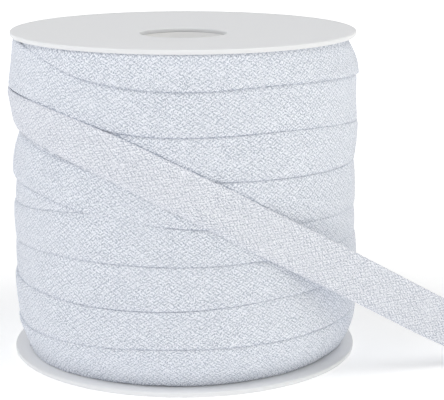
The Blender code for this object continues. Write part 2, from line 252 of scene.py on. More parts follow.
# How the turns lie: each one's upper edge lies on the lower edge of the turn above it, which dips
# under it over DIP_LENGTH. The dip starts above the edge, by this much in mm at RADIUS_ANGLES, a
# row for each turn.
DIP_STARTS = (
    (0.1, 0.0, 0.1, 0.2, 0.2, 0.1),
    (0.1, 0.1, 0.1, 0.2, 0.05, 0.1),
    (0.1, 0.1, 0.1, 0.2, 0.15, 0.1),
    (0.1, -0.25, -0.1, 0.15, -0.3, 0.0),
    (0.0, 0.05, 0.05, 0.0, -0.3, 0.0),
    (0.0, -0.05, 0.05, 0.15, 0.0, 0.1),
    (0.1, -0.1, 0.1, 0.15, 0.1, 0.1),
    (0.1, -0.15, 0.05, 0.15, 0.1, 0.1),
    (0.1, -0.15, 0.05, 0.15, 0.1, 0.1),
    (0.1, 0.1, 0.1, 0.1, 0.1, 0.1),
)
DIP_LENGTH = 0.5 * MM

# A turn that shows less than PINCH goes under altogether. SEAT is left free between a cord and
# what it lies on. A turn's way under the next ones is followed over COVER_LEVELS of them. A share
# of the shown width counts from LEAST_WIDTH at least.
PINCH = 0.4 * MM
SEAT = 0.05 * MM
COVER_LEVELS = 3
LEAST_WIDTH = 0.1 * MM

# Where a turn shows wider than the cord, it is stretched to reach this far past the seam.
PAST_SEAM = 0.4 * MM

# Only the part of a cord this near to its face takes the painted shade at a seam.
FACE_DEPTH = 0.1 * MM

# The cord is pressed against both flanges, so its outer turns reach them over this stretch.
END_STRETCH = 1.0 * MM

# The braid: two sets of strands cross at a slant, over one and under one, so that the crossings
# make diamonds. It goes right round the flat cord, as such a braid is made as a tube: there are
# seven diamonds across each face and one round each edge. A back that doesn't show has a mesh
# point at each BACK_STRIDE steps only.
DIAMONDS_ROUND = 16
DIAMONDS_PER_TURN = 125
STEPS_PER_DIAMOND = 4
FACE_STEPS = 7 * STEPS_PER_DIAMOND
EDGE_STEPS = STEPS_PER_DIAMOND
STEPS_ROUND = DIAMONDS_ROUND * STEPS_PER_DIAMOND
BACK_STRIDE = 7
COLUMN_ANGLE = 360.0 / (DIAMONDS_PER_TURN * STEPS_PER_DIAMOND)
WOUND_RADIUS = 48.7 * MM
DIAMOND_LENGTH = math.tau * WOUND_RADIUS / DIAMONDS_PER_TURN
COLUMN_LENGTH = DIAMOND_LENGTH / STEPS_PER_DIAMOND

# How high the braid's mesh points stand, from 0 to 1, by their column and row in a diamond. Each
# one has an uneven share of that height, from LEAST_STAND to MOST_STAND, and is off its place by up
# to half of OFF_ALONG and OFF_ACROSS.
BRAID_SEED = 7
STANDS = (
    (1.0, 0.55, 0.0, 0.55),
    (0.6, 0.4, 0.6, 0.4),
    (0.0, 0.55, 1.0, 0.55),
    (0.6, 0.4, 0.6, 0.4),
)
LEAST_STAND = 0.6
MOST_STAND = 1.3
OFF_ALONG = 0.25 * MM
OFF_ACROSS = 0.18 * MM

# The yarns in the braid's material, in diamonds: how far and how often they wander off their
# lines, how many fibres there are along and across a diamond, how many streaks there are along and
# across a strand, and how far apart one crossing's streaks are taken from the next one's.
WANDER = 0.22
WANDER_SCALE = 1.3
FIBRE_SCALE = (9.5, 6.1, 1.0)
STREAKS_ALONG = 1.3
STREAKS_ACROSS = 4.5
STREAKS_APART = 40.0

# How light the yarns are, from 0, the colour between them, which is painted shade down there, to 1,
# the colour on top. Each part adds its weight times what it is above its middle value to
# YARN_LEVEL.
# At a seam SEAM_DARK of painted shade is taken off between the yarns, and less on top of them.
YARN_WEIGHTS = (
    ("height", 0.85, 0.45),
    ("raised", 0.05, 0.4),
    ("chance", 0.12, 0.5),
    ("streak", 1.2, 0.5),
    ("fibre", 4.2, 0.5),
)
YARN_LEVEL = 0.6
SEAM_DARK = 2.2

# How strongly the braid shows on the wound cord and on its loose end, and how much less or more
# in patches, of which there are PATCH_SCALE to a metre. A noise's values lie mostly in NOISE_RANGE.
WOUND_CONTRAST = 1.0
LOOSE_CONTRAST = 0.8
PATCH_SCALE = 60.0
PATCH_LEAST = 0.75
PATCH_MOST = 1.3
NOISE_RANGE = (0.3, 0.7)

# The bump of the nap on the cotton and of the grain on the plastic, as strength and height. Grains
# are counted to a metre.
NAP = (0.5, 0.12 * MM)
GRAIN = (0.15, 0.05 * MM)
GRAIN_SCALE = 1500.0

# The lamps: name, place, size in metres, power in watts and colour. All aim at LAMP_AIM.
LAMPS = (
    ("front", (0.0, -1.2, 1.15), 1.0, 0.9, (1.0, 1.0, 1.0)),
    ("left_high", (-0.8, -0.35, 1.4), 1.0, 10.4, (1.0, 1.0, 1.0)),
    ("right_high", (0.8, -0.35, 1.4), 1.0, 8.2, (1.0, 1.0, 1.0)),
    ("right", (1.2, -0.5, 0.2), 0.7, 1.7, (1.0, 0.94, 0.68)),
)
LAMP_AIM = (0.0, 0.0, 0.03)

# How bright the room is near the horizon and overhead. It changes between two angles above the
# horizon, of which these are the sines.
ROOM_BRIGHTNESS = (1.0, 0.27)
ROOM_SINES = (0.14, 0.4)

# The floor glows a little by itself, painted light in place of the studio's light on it, with these
# strengths at these distances from the middle in metres, and FLOOR_SIZE is half its width.
FLOOR_SIZE = 6.0
GLOW_STRENGTHS = (0.24, 0.8)
GLOW_DISTANCES = (0.15, 1.0)

# The camera has the photo's viewing angle, as the ellipses of the two flanges give it.
CAMERA_PLACE = (0.0, -0.4424, 0.1416)
CAMERA_TURN = (math.radians(77.361), 0.0, math.radians(-1.408))
SENSOR_WIDTH = 36.0


def linear(code):
    """An sRGB hex colour as linear red, green and blue."""
    channels = [int(code[n : n + 2], 16) / 255 for n in (1, 3, 5)]
    return tuple(c / 12.92 if c <= 0.04045 else ((c + 0.055) / 1.055) ** 2.4 for c in channels)


class CordProperties(bpy.types.PropertyGroup):
    """Sizes and colours of the cotton cord."""

    width: bpy.props.FloatProperty(
        name="Width", description="Width of the flat cord", default=12.0 * MM, unit="LENGTH"
    )
    thickness: bpy.props.FloatProperty(
        name="Thickness", description="Thickness of the flat cord", default=1.0 * MM, unit="LENGTH"
    )
    edge: bpy.props.FloatProperty(
        name="Edge", description="How far in the cord's edges are rounded", default=0.25 * MM,
        unit="LENGTH",
    )
    taper: bpy.props.FloatProperty(
        name="Taper", description="How much thinner the wound cord is at its edges",
        default=0.2 * MM, unit="LENGTH",
    )
    loose_taper: bpy.props.FloatProperty(
        name="Loose taper", description="How much thinner the loose end is at its edges",
        default=0.35 * MM, unit="LENGTH",
    )
    relief: bpy.props.FloatProperty(
        name="Relief", description="Height of the crossings on the face", default=0.1 * MM,
        unit="LENGTH",
    )
    light: bpy.props.FloatVectorProperty(
        name="Yarn", description="Colour on top of the yarns", subtype="COLOR",
        default=linear("#F1F4FB"),
    )
    # The colour between the yarns is painted shade, darker where shade falls between them.
    shade: bpy.props.FloatVectorProperty(
        name="Between yarns", description="Colour down between the yarns", subtype="COLOR",
        default=linear("#A3ABB9"),
    )
    loose_light: bpy.props.FloatVectorProperty(
        name="Loose end's yarn", description="Colour on top of the loose end's yarns",
        subtype="COLOR", default=linear("#F2F4FA"),
    )
    # The loose end's colour between its yarns is painted shade too.
    loose_shade: bpy.props.FloatVectorProperty(
        name="Between its yarns", description="Colour down between the loose end's yarns",
        subtype="COLOR", default=linear("#A4AAB8"),
    )


class SpoolProperties(bpy.types.PropertyGroup):
    """Sizes and colours of the plastic spool."""

    edge: bpy.props.FloatProperty(
        name="Edge radius", description="Rounding of the flange rims", default=0.35 * MM,
        unit="LENGTH",
    )
    plastic: bpy.props.FloatVectorProperty(
        name="Plastic", description="Colour of the flanges", subtype="COLOR",
        default=linear("#E7E8EA"),
    )
    # The hub's plastic is lighter than the flanges': painted light for the dim bore.
    hub: bpy.props.FloatVectorProperty(
        name="Hub's plastic", description="Colour of the hub", subtype="COLOR",
        default=linear("#F9F9F9"),
    )


class StageProperties(bpy.types.PropertyGroup):
    """The floor, the light and the camera."""

    floor: bpy.props.FloatVectorProperty(
        name="Floor", description="Colour of the floor", subtype="COLOR",
        default=linear("#FAFAFA"),
    )
    lens: bpy.props.FloatProperty(
        name="Lens", description="Focal length on a 36 mm sensor", default=127.6, subtype="NONE"
    )


def between(t, a, b, slope_a, slope_b):
    """The value at t, from 0 to 1, on a smooth curve from a to b with these slopes at its ends."""
    return (
        (1 + 2 * t) * (1 - t) ** 2 * a
        + t * (1 - t) ** 2 * slope_a
        + t * t * (3 - 2 * t) * b
        + t * t * (t - 1) * slope_b
    )


def smooth_curve(knots, values):
    """A function of an array: a smooth curve through the knots, with no overshoot between them."""
    knots, values = np.array(knots, float), np.array(values, float)
    slopes = np.diff(values) / np.diff(knots)
    before, after = slopes[:-1], slopes[1:]
    mean = (before + after) / 2
    steepest = 3 * np.minimum(np.abs(before), np.abs(after))
    inner = np.where(before * after <= 0, 0.0, np.sign(mean) * np.minimum(np.abs(mean), steepest))
    tangents = np.concatenate(([slopes[0]], inner, [slopes[-1]]))

    def at(x):
        x = np.clip(x, knots[0], knots[-1])
        i = np.clip(np.searchsorted(knots, x, side="right") - 1, 0, len(knots) - 2)
        span = knots[i + 1] - knots[i]
        t = (x - knots[i]) / span
        return between(t, values[i], values[i + 1], span * tangents[i], span * tangents[i + 1])

    return at


def spiral(rows, angles):
    """One smooth curve through a table's rows, turn after turn. Each row goes on from the last."""
    knots, values = [], []
    for turn, row in enumerate(rows):
        knots += [angle + 360.0 * turn for angle in angles[:-1]]
        values += [value * MM for value in row[:-1]]
    knots.append(angles[-1] + 360.0 * (len(rows) - 1))
    values.append(rows[-1][-1] * MM)
    return smooth_curve(knots, values)


top_draw = smooth_curve(END_ANGLES, TOP_DRAW)
foot_draw = smooth_curve(END_ANGLES, FOOT_DRAW)
upper_edge = spiral(SEAM_HEIGHTS, SEAM_ANGLES)
upper_radius = spiral(UPPER_RADII, RADIUS_ANGLES)
lower_radius = spiral(LOWER_RADII, RADIUS_ANGLES)
crown = spiral(CROWNS, RADIUS_ANGLES)
dip_start = spiral(DIP_STARTS, RADIUS_ANGLES)
curl = smooth_curve(CURL_ANGLES, CURL)


def ease(t):
    """0 to 1 with a soft start and end."""
    t = np.clip(t, 0.0, 1.0)
    return t * t * (3 - 2 * t)


def wrapped(angle):
    """The same angle between -180 and 180 degrees."""
    return (angle + 180.0) % 360.0 - 180.0


def drawn_in(angle, height):
    """How much smaller the winding's radius is at a height near its top or its foot."""
    around = wrapped(angle)
    from_top = np.clip(1 - (WINDING_HIGH.z - height) / TOP_REACH, 0.0, 1.0)
    from_foot = np.clip(1 - (height - WINDING_LOW.z) / FOOT_REACH, 0.0, 1.0)
    top, foot = top_draw(around) * from_top**DRAW_CURVE, foot_draw(around) * from_foot**DRAW_CURVE
    return (top + foot) * MM


def shown_width(angle):
    """How much of a turn's width shows above the turn below it."""
    return np.maximum(upper_edge(angle) - upper_edge(angle + 360.0), 0.0)


def tucked(angle, drop):
    """How far a turn has dipped under the turn below it, from 0 to 1, a drop below its edge."""
    return ease((drop - shown_width(angle) + dip_start(angle)) / DIP_LENGTH)


def face_radius(angle, drop, thickness, level=0):
    """Radius of a turn's face, a drop below its upper edge. It dips under the turn below it."""
    shown = shown_width(angle)
    share = np.clip(drop / np.maximum(shown, LEAST_WIDTH), 0.0, 1.0)
    upper, lower = upper_radius(angle), lower_radius(angle)
    face = upper + (lower - upper) * share + crown(angle) * 4 * share * (1 - share)
    face = face - drawn_in(angle, upper_edge(angle) - drop)
    if level == COVER_LEVELS:
        return face
    covered = tucked(angle, drop)
    if level == 0:
        covered = np.maximum(covered, 1 - ease(shown / PINCH))
    below = face_radius(angle + 360.0, np.maximum(drop - shown, 0.0), thickness, level + 1)
    return face + (below - thickness - SEAT - face) * covered


def on_cylinder(angle, radius, height):
    """The point at an angle in degrees from the front, a radius and a height."""
    a = math.radians(angle)
    return (radius * math.sin(a), -radius * math.cos(a), height)


def smooth_route(points, step):
    """Points about a step apart on a smooth curve through the route's own points."""
    last = len(points) - 1
    out = []
    for i in range(last):
        p0, p1, p2, p3 = points[max(i - 1, 0)], points[i], points[i + 1], points[min(i + 2, last)]
        span = math.dist(p1[:3], p2[:3])
        before = math.dist(p0[:3], p1[:3]) or span
        after = math.dist(p2[:3], p3[:3]) or span
        count = max(1, round(span / step))
        for n in range(count):
            row = []
            for a, b, c, d in zip(p0, p1, p2, p3):
                at_b = ((b - a) / before + (c - b) / span) / 2 * span if i else c - b
                at_c = ((c - b) / span + (d - c) / after) / 2 * span if i + 1 < last else c - b
                row.append(between(n / count, b, c, at_b, at_c))
            out.append(tuple(row))
    out.append(tuple(points[-1]))
    return out


def loose_route(step):
    """The loose end's middle line as (x, y, z, tilt) rows about a step apart."""
    rows = [
        (*on_cylinder(angle, radius * MM, height * MM), tilt)
        for angle, radius, height, tilt in LOOSE_ON_WINDING
    ]
    rows += [(x * MM, y * MM, z * MM, tilt) for x, y, z, tilt in LOOSE_FREE]
    return smooth_route(rows, step)


def curled_in(angle, drop, width):
    """How far the loose end has curled in at an angle, a drop below its upper edge."""
    return curl(angle) * MM * np.clip(1 + (drop - width) / CURL_WIDTH, 0.0, 1.0) ** 2


def under_loose_end(angle, height, width, thickness):
    """The radius that a turn may reach under the loose end, at arrays of angles and heights, and
    how much painted shade it gets along the loose end's upper edge, from 0 to 1."""
    rows = []
    for x, y, z, tilt in loose_route(LOOSE_STEP):
        turned = math.degrees(math.atan2(x, -y))
        if turned < LOOSE_CLEAR:
            rows.append((turned, math.hypot(x, y), z, math.radians(tilt)))
    limit, shaded = np.full(angle.shape, np.inf), np.zeros(angle.shape)
    for (a0, r0, z0, t0), (a1, r1, z1, t1) in zip(rows, rows[1:]):
        mean = (r0 + r1) / 2
        dx, dz = math.radians(a1 - a0) * mean, z1 - z0
        length = math.hypot(dx, dz)
        px, pz = np.radians(angle - a0) * mean, height - z0
        along = (px * dx + pz * dz) / length
        across = (pz * dx - px * dz) / length
        t = np.clip(along / length, 0.0, 1.0)
        lean = np.sin(t0 + (t1 - t0) * t) * np.clip(across, -width / 2, width / 2)
        curled = curled_in((a0 + a1) / 2, width / 2 - across, width)
        inner = r0 + (r1 - r0) * t + lean - curled - thickness / 2 - SEAT
        start = np.where(across > 0.0, SEAT, -BELOW_START)
        rise = np.where(across > 0.0, BESIDE_RISE, BELOW_RISE)
        past = np.maximum(np.abs(across) - width / 2 - start, 0.0)
        inner = inner + thickness * ease(past / rise) + BESIDE_SLOPE * past
        near = (along > -length) & (along < 2 * length) & (past < BESIDE_REACH)
        limit = np.where(near, np.minimum(limit, inner), limit)
        # Painted shade just above the loose end's upper edge, fading as the loose end lifts off.
        beyond = np.maximum(across - width / 2, 0.0)
        lifted = r0 + (r1 - r0) * t - thickness - WOUND_RADIUS
        shade = (1 - ease(beyond / SHADE_WIDTH)) * (1 - ease(lifted / LIFT_FADE)) * SHADE
        shade = np.where(across > 0.0, shade, 0.0)
        beside = (along >= 0.0) & (along <= length)
        shaded = np.where(beside, np.maximum(shaded, shade), shaded)
    return limit, shaded


def column_at(angle):
    """The braid's column at an angle on the spiral."""
    return round((angle - TURNS[0][1]) / COLUMN_ANGLE)


def braid(first, columns):
    """The braid's crossings over a stretch of cord: how far each mesh point is shifted along and
    across, and how high it stands, from 0 to 1, by column along and by step round the cord."""
    total = (len(TURNS) + 2) * DIAMONDS_PER_TURN * STEPS_PER_DIAMOND
    chance = np.random.default_rng(BRAID_SEED).random((3, total, STEPS_ROUND + 1))
    chance[:, :, STEPS_ROUND] = chance[:, :, 0]
    chance = chance[:, first : first + columns + 1, :]
    column = np.arange(first, first + columns + 1)[:, None] % STEPS_PER_DIAMOND
    row = np.arange(STEPS_ROUND + 1)[None, :] % STEPS_PER_DIAMOND
    along = (chance[0] - 0.5) * OFF_ALONG
    across = (chance[1] - 0.5) * OFF_ACROSS
    uneven = LEAST_STAND + (MOST_STAND - LEAST_STAND) * chance[2]
    high = np.clip(np.array(STANDS)[column, row] * uneven, 0.0, 1.0)
    return along, across, high


def to_mesh(name, shape):
    """The finished shape as a mesh, shaded smooth."""
    mesh = bpy.data.meshes.new(name)
    shape.to_mesh(mesh)
    shape.free()
    mesh.shade_smooth()
    return mesh


def closed_strip(name, places, heights, painted_shade, lengths, around):
    """A mesh strip with a closed section: places[column][row] are its points, and the last row
    comes back to the first. Its UV map counts the braid's diamonds along and round the cord. Its
    attributes hold how high the crossings stand and the painted shade at its seams and along the
    loose end's upper edge."""
    columns, rows = len(places) - 1, len(places[0]) - 1
    shape = bmesh.new()
    uv = shape.loops.layers.uv.new("cord")
    raised = shape.verts.layers.float.new("relief")
    # This attribute holds the painted shade.
    tuck = shape.verts.layers.float.new("tucked")
    bmesh.ops.create_grid(shape, x_segments=columns, y_segments=rows, size=0.5)
    for point in shape.verts:
        column = round((point.co.x + 0.5) * columns)
        row = round((point.co.y + 0.5) * rows)
        for corner in point.link_loops:
            corner[uv].uv = (lengths[column] / DIAMOND_LENGTH, around[row] / STEPS_PER_DIAMOND)
        point[raised] = heights[column][row]
        point[tuck] = painted_shade[column][row]
        point.co = places[column][row]
    bmesh.ops.remove_doubles(shape, verts=shape.verts, dist=MERGE)
    ends = [e for e in shape.edges if e.is_boundary]
    bmesh.ops.holes_fill(shape, edges=ends, sides=0)
    bmesh.ops.recalc_face_normals(shape, faces=shape.faces)
    for edge in ends:
        edge.smooth = False
    return to_mesh(name, shape)


def place(name, mesh, finish, stands_for):
    """Puts a finished mesh in the scene: it rides on the part's body and replaces a node."""
    made = bpy.data.objects.new(name, mesh)
    bpy.context.scene.collection.objects.link(made)
    mesh.materials.append(finish)
    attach(made, "root")
    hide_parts(stands_for)
    return made


def section(cord, taper, taper_width, both_faces):
    """The cord's section as (drop, depth, out, place) rows: down the face, round the lower edge, up
    the back and round the upper edge. Drop is from the upper edge, depth from the face, out is the
    share of a stitch's height that stands out from the face, and place is the step round the
    braid. The back of a cord that lies on the winding has few rows."""
    edge, steps = cord.edge, FACE_STEPS
    span = cord.width - 2 * edge
    back = steps + EDGE_STEPS
    rows = []
    for n in range(steps + 1):
        drop = edge + span * n / steps
        thinner = taper * (1 - float(ease(min(drop, cord.width - drop) / taper_width)))
        rows.append((drop, thinner, 1.0, n))
    start = rows[-1][1]
    middle, half = (cord.thickness + start) / 2, (cord.thickness - start) / 2
    half_turn = [math.pi * n / EDGE_STEPS for n in range(EDGE_STEPS)]
    for n, turn in enumerate(half_turn[1:], 1):
        drop = cord.width - edge + edge * math.sin(turn)
        rows.append((drop, middle - half * math.cos(turn), math.cos(turn), steps + n))
    for n in range(0, steps + 1, 1 if both_faces else BACK_STRIDE):
        rows.append((cord.width - edge - span * n / steps, cord.thickness, -1.0, back + n))
    for n, turn in enumerate(half_turn[1:], 1):
        drop = edge - edge * math.sin(turn)
        rows.append((drop, middle + half * math.cos(turn), -math.cos(turn), back + steps + n))
    rows.append((*rows[0][:3], STEPS_ROUND))
    return rows


def node(tree, kind, inputs=None, **settings):
    """Adds a node with its settings. An input is a value, or the output that feeds it."""
    made = tree.nodes.new(kind)
    for name, value in settings.items():
        setattr(made, name, value)
    for socket, value in (inputs or {}).items():
        if isinstance(value, bpy.types.NodeSocket):
            tree.links.new(value, made.inputs[socket])
        else:
            made.inputs[socket].default_value = value
    return made


def new_material(name):
    """An empty material's node tree with its output, as (material, tree, output)."""
    made = bpy.data.materials.new(name)
    made.use_nodes = True
    made.node_tree.nodes.clear()
    return made, made.node_tree, node(made.node_tree, "ShaderNodeOutputMaterial")


def bleached_cotton(name, light, shade, contrast):
    """Bleached cotton yarn, braided flat from strands of two ends laid side by side: matt, with a
    faint nap that softens its edges, bluish white from the brightener, and with painted shade down
    between the ends. A diamond is 2.45 mm along the cord and 1.64 mm across it, and an end is 0.68
    mm wide. The fibres on it are drawn 0.26 mm wide, far coarser than they are, so that they show."""
    found = bpy.data.materials.get(name)
    if found:
        return found
    made, tree, output = new_material(name)
    raised = node(tree, "ShaderNodeAttribute", attribute_name="relief").outputs["Fac"]
    # The tucked attribute holds the painted shade at the seams and along the loose end's upper
    # edge.
    painted_shade = node(tree, "ShaderNodeAttribute", attribute_name="tucked").outputs["Fac"]
    where = node(tree, "ShaderNodeUVMap", uv_map="cord").outputs["UV"]
    wander = node(
        tree, "ShaderNodeTexNoise", {"Vector": where, "Scale": WANDER_SCALE, "Detail": 1.0}
    ).outputs["Color"]
    shift = node(
        tree, "ShaderNodeVectorMath", {0: wander, 1: (0.5, 0.5, 0.5)}, operation="SUBTRACT"
    ).outputs[0]
    shift = node(
        tree, "ShaderNodeVectorMath", {0: shift, "Scale": WANDER}, operation="SCALE"
    ).outputs[0]
    where = node(tree, "ShaderNodeVectorMath", {0: where, 1: shift}, operation="ADD").outputs[0]
    split = node(tree, "ShaderNodeSeparateXYZ", {0: where}).outputs

    # Each step is its result's name, the sum to do and what goes into it. A crossing's cell is
    # found first, then the place across and along the strand that lies on top there.
    values = {"u": split[0], "v": split[1], "raised": raised}
    steps = (
        ("rising", "ADD", "u", "v"),
        ("falling", "SUBTRACT", "u", "v"),
        ("cell_r", "ROUND", "rising"),
        ("cell_f", "ROUND", "falling"),
        ("from_r", "SUBTRACT", "rising", "cell_r"),
        ("from_f", "SUBTRACT", "falling", "cell_f"),
        ("cells", "ADD", "cell_r", "cell_f"),
        ("over", "PINGPONG", "cells", 1.0),
        ("between", "SUBTRACT", "from_r", "from_f"),
        ("side", "MULTIPLY_ADD", "between", "over", "from_f"),
        ("back", "MULTIPLY", "between", "over"),
        ("run", "SUBTRACT", "from_r", "back"),
        ("from_edge", "ADD", "side", 0.5),
        ("from_gap", "PINGPONG", "from_edge", 0.25),
        ("hollow", "MULTIPLY_ADD", "from_gap", -4.0, 1.0),
        ("gap", "POWER", "hollow", 2.0),
        ("end", "SUBTRACT", 1.0, "gap"),
        ("from_middle", "ABSOLUTE", "run"),
        ("slope", "POWER", "from_middle", 2.0),
        ("bulge", "MULTIPLY_ADD", "slope", -3.0, 1.0),
        ("height", "MULTIPLY", "end", "bulge"),
        ("long", "MULTIPLY", "run", STREAKS_ALONG),
        ("wide", "MULTIPLY", "side", STREAKS_ACROSS),
    )
    for result, operation, *parts in steps:
        inputs = {n: values.get(part, part) for n, part in enumerate(parts)}
        values[result] = node(tree, "ShaderNodeMath", inputs, operation=operation).outputs[0]

    cell = node(tree, "ShaderNodeCombineXYZ", {0: values["cell_r"], 1: values["cell_f"], 2: 0.0})
    values["chance"] = node(
        tree, "ShaderNodeTexWhiteNoise", {"Vector": cell.outputs[0]}
    ).outputs["Value"]
    apart = node(
        tree, "ShaderNodeMath", {0: values["chance"], 1: STREAKS_APART}, operation="MULTIPLY"
    ).outputs[0]
    streak_at = node(
        tree, "ShaderNodeCombineXYZ", {0: values["long"], 1: values["wide"], 2: apart}
    ).outputs[0]
    values["streak"] = node(
        tree, "ShaderNodeTexNoise", {"Vector": streak_at, "Scale": 1.0, "Detail": 1.0}
    ).outputs["Fac"]
    fibre_at = node(
        tree, "ShaderNodeVectorMath", {0: where, 1: FIBRE_SCALE}, operation="MULTIPLY"
    ).outputs[0]
    values["fibre"] = node(
        tree, "ShaderNodeTexNoise", {"Vector": fibre_at, "Scale": 1.0, "Detail": 1.0}
    ).outputs["Fac"]

    detail = -sum(weight * middle for _, weight, middle in YARN_WEIGHTS)
    for part, weight, _ in YARN_WEIGHTS:
        detail = node(
            tree, "ShaderNodeMath", {0: values[part], 1: weight, 2: detail},
            operation="MULTIPLY_ADD",
        ).outputs[0]

    # The braid shows more in some places than in others, as it is pulled more or less tight.
    spot = node(tree, "ShaderNodeTexCoord").outputs["Object"]
    patch = node(
        tree, "ShaderNodeTexNoise", {"Vector": spot, "Scale": PATCH_SCALE, "Detail": 1.0}
    ).outputs["Fac"]
    strength = node(
        tree, "ShaderNodeMapRange",
        {
            "Value": patch, "From Min": NOISE_RANGE[0], "From Max": NOISE_RANGE[1],
            "To Min": PATCH_LEAST * contrast, "To Max": PATCH_MOST * contrast,
        },
    ).outputs["Result"]
    level = node(
        tree, "ShaderNodeMath", {0: detail, 1: strength, 2: YARN_LEVEL}, operation="MULTIPLY_ADD"
    ).outputs[0]

    # Painted shade at a seam: dark between the yarns and less so on top of them, so it looks
    # dotted.
    dark = node(
        tree, "ShaderNodeMath", {0: values["height"], 1: SEAM_DARK, 2: -SEAM_DARK},
        operation="MULTIPLY_ADD",
    ).outputs[0]
    level = node(
        tree, "ShaderNodeMath", {0: painted_shade, 1: dark, 2: level}, operation="MULTIPLY_ADD"
    ).outputs[0]
    level = node(tree, "ShaderNodeClamp", {0: level}).outputs[0]
    # The colour runs from the painted shade between the yarns to the yarns' own colour on top.
    colour = node(
        tree, "ShaderNodeMix",
        {"Factor": level, "A": (*shade, 1.0), "B": (*light, 1.0)},
        data_type="RGBA",
    ).outputs["Result"]
    lift = node(
        tree, "ShaderNodeMath", {0: values["fibre"], 1: 1.0, 2: values["height"]},
        operation="MULTIPLY_ADD",
    ).outputs[0]
    nap = node(
        tree, "ShaderNodeBump", {"Height": lift, "Strength": NAP[0], "Distance": NAP[1]}
    ).outputs["Normal"]
    shader = node(
        tree, "ShaderNodeBsdfPrincipled",
        {
            "Base Color": colour,
            "Roughness": 0.9,
            "Specular IOR Level": 0.2,
            "Sheen Weight": 0.05,
            "Sheen Roughness": 0.5,
            "Normal": nap,
        },
    )
    tree.links.new(shader.outputs[0], output.inputs["Surface"])
    return made


def moulded_plastic(name, colour):
    """Injection-moulded white polystyrene: satin, with a faint grain 0.7 mm wide from the mould."""
    found = bpy.data.materials.get(name)
    if found:
        return found
    made, tree, output = new_material(name)
    where = node(tree, "ShaderNodeTexCoord")
    grain = node(
        tree, "ShaderNodeTexNoise",
        {"Vector": where.outputs["Object"], "Scale": GRAIN_SCALE, "Detail": 2.0},
    )
    relief = node(
        tree, "ShaderNodeBump",
        {"Height": grain.outputs["Fac"], "Strength": GRAIN[0], "Distance": GRAIN[1]},
    )
    shader = node(
        tree, "ShaderNodeBsdfPrincipled",
        {
            "Base Color": (*colour, 1.0),
            "Roughness": 0.5,
            "IOR": 1.5,
            "Specular IOR Level": 0.2,
            "Normal": relief.outputs["Normal"],
        },
    )
    tree.links.new(shader.outputs[0], output.inputs["Surface"])
    return made


def white_paper(name, colour):
    """Matt white paper of a studio's backdrop, with a painted glow in place of light from all
    round, more so further off."""
    made, tree, output = new_material(name)
    where = node(tree, "ShaderNodeTexCoord").outputs["Object"]
    far = node(tree, "ShaderNodeVectorMath", {0: where}, operation="LENGTH").outputs["Value"]
    # Painted light: the glow grows from the middle outwards.
    glow = node(
        tree, "ShaderNodeMapRange",
        {
            "Value": far, "From Min": GLOW_DISTANCES[0], "From Max": GLOW_DISTANCES[1],
            "To Min": GLOW_STRENGTHS[0], "To Max": GLOW_STRENGTHS[1],
        },
    ).outputs["Result"]
    shader = node(
        tree, "ShaderNodeBsdfPrincipled",
        {
            "Base Color": (*colour, 1.0),
            "Roughness": 0.9,
            "Specular IOR Level": 0.1,
            "Emission Color": (1.0, 1.0, 1.0, 1.0),
            "Emission Strength": glow,
        },
    )
    tree.links.new(shader.outputs[0], output.inputs["Surface"])
    return made


def white_room(name):
    """A white room round the stage, darker overhead than near the horizon."""
    room = bpy.data.worlds.new(name)
    room.use_nodes = True
    tree = room.node_tree
    way = node(tree, "ShaderNodeTexCoord").outputs["Generated"]
    upward = node(tree, "ShaderNodeSeparateXYZ", {0: way}).outputs[2]
    bright = node(
        tree, "ShaderNodeMapRange",
        {
            "Value": upward, "From Min": ROOM_SINES[0], "From Max": ROOM_SINES[1],
            "To Min": ROOM_BRIGHTNESS[0], "To Max": ROOM_BRIGHTNESS[1],
        },
    ).outputs["Result"]
    background = tree.nodes["Background"]
    background.inputs["Color"].default_value = (1.0, 1.0, 1.0, 1.0)
    tree.links.new(bright, background.inputs["Strength"])
    return room


def turned(name, profile, edge, sharp, steps):
    """A closed profile of (radius, height) points turned round Z, with the circles through the
    sharp points rounded by a bevel."""
    shape = bmesh.new()
    points = [shape.verts.new((radius, 0.0, height)) for radius, height in profile]
    edges = [shape.edges.new((p, points[(n + 1) % len(points)])) for n, p in enumerate(points)]
    bmesh.ops.spin(
        shape, geom=points + edges, cent=(0, 0, 0), axis=(0, 0, 1), angle=2 * math.pi,
        steps=steps, use_merge=True,
    )
    bmesh.ops.remove_doubles(shape, verts=shape.verts, dist=MERGE)
    bmesh.ops.recalc_face_normals(shape, faces=shape.faces)

    def on_circle(e):
        return any(
            all(
                abs(math.hypot(v.co.x, v.co.y) - radius) < ON_RIM
                and abs(v.co.z - height) < ON_RIM
                for v in e.verts
            )
            for radius, height in sharp
        )

    bmesh.ops.bevel(
        shape, geom=[e for e in shape.edges if on_circle(e)], offset=edge, offset_type="OFFSET",
        segments=BEVEL_SEGMENTS, profile=0.5, affect="EDGES", material=-1, clamp_overlap=True,
    )
    mesh = to_mesh(name, shape)
    mesh.set_sharp_from_angle(angle=SHARP_ANGLE)
    return mesh


